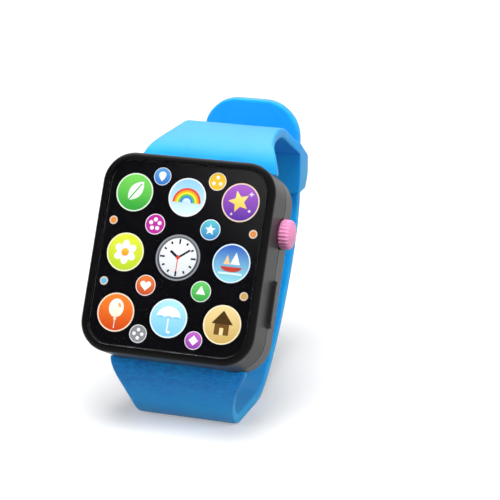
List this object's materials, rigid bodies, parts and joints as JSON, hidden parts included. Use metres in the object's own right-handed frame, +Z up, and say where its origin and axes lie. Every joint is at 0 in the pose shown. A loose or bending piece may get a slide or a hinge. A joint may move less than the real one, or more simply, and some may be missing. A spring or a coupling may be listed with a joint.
{
  "type": "toy watch",
  "caption": "Toy wrist watch: rounded square case with a picture dial under a clear lens, push crown and side button, on a wide rubber strap closed into a loop that it stands on.",
  "frame": {"origin": "middle of the flat patch of strap that the watch stands on", "axes": "+Z up, the face looks towards -Y and leans back, +X is the side with the crown"},
  "size_m": [0.0429, 0.0645, 0.0638],
  "materials": {
    "case_black": "satin moulded",
    "cover_black": "fine spark texture",
    "lens_clear": "clear, polished",
    "dial_print": "printed, coated",
    "tape_grey": "foam tape",
    "film_amber": "film",
    "board_green": "solder mask",
    "resin_black": "cast resin",
    "lamp_orange": "clear tinted",
    "crown_pink": "satin moulded",
    "switch_grey": "moulded",
    "plunger_cream": "moulded",
    "button_black": "satin moulded",
    "speaker_steel": "zinc plated",
    "magnet_steel": "nickel plated",
    "cone_black": "pressed film",
    "lead_red": "insulated wire",
    "cell_can": "bright can",
    "contact_brass": "stamped",
    "screw_steel": "zinc plated",
    "strap_blue": "soft satin"
  },
  "bodies": {
    "watch": {"front_shell": "case_black", "back_cover": "cover_black", "screen_lens": "lens_clear", "dial_card": "dial_print", "screen_tape": "tape_grey", "touch_sheet": "film_amber", "circuit_board": "board_green", "sound_chip": "resin_black", "lamps": "lamp_orange", "crown_switch": "switch_grey", "side_switch": "switch_grey", "speaker_frame": "speaker_steel", "speaker_magnet": "magnet_steel", "speaker_cone": "cone_black", "speaker_leads": "lead_red", "cell_left": "cell_can", "cell_right": "cell_can", "contact_left": "contact_brass", "contact_right": "contact_brass", "case_screws": "screw_steel", "upper_strap": "strap_blue", "lower_strap": "strap_blue"},
    "crown": {"crown_button": "crown_pink", "crown_plunger": "plunger_cream"},
    "key": {"side_button": "button_black", "side_plunger": "plunger_cream"},
    "door": {"battery_door": "cover_black", "door_bridge": "contact_brass", "door_screw": "screw_steel"}
  },
  "joints": [
    {"name": "crown_press", "type": "slide", "parent": "watch", "child": "crown", "axis": [-1, 0, 0], "range_m": [0, 0.0006], "stiffness_N_per_m": 500},
    {"name": "side_button_press", "type": "slide", "parent": "watch", "child": "key", "axis": [-1, 0, 0], "range_m": [0, 0.0005], "stiffness_N_per_m": 500},
    {"name": "battery_door_lift", "type": "slide", "parent": "watch", "child": "door", "axis": [0, 0.8878, -0.4602], "range_m": [0, 0.015]}
  ]
}
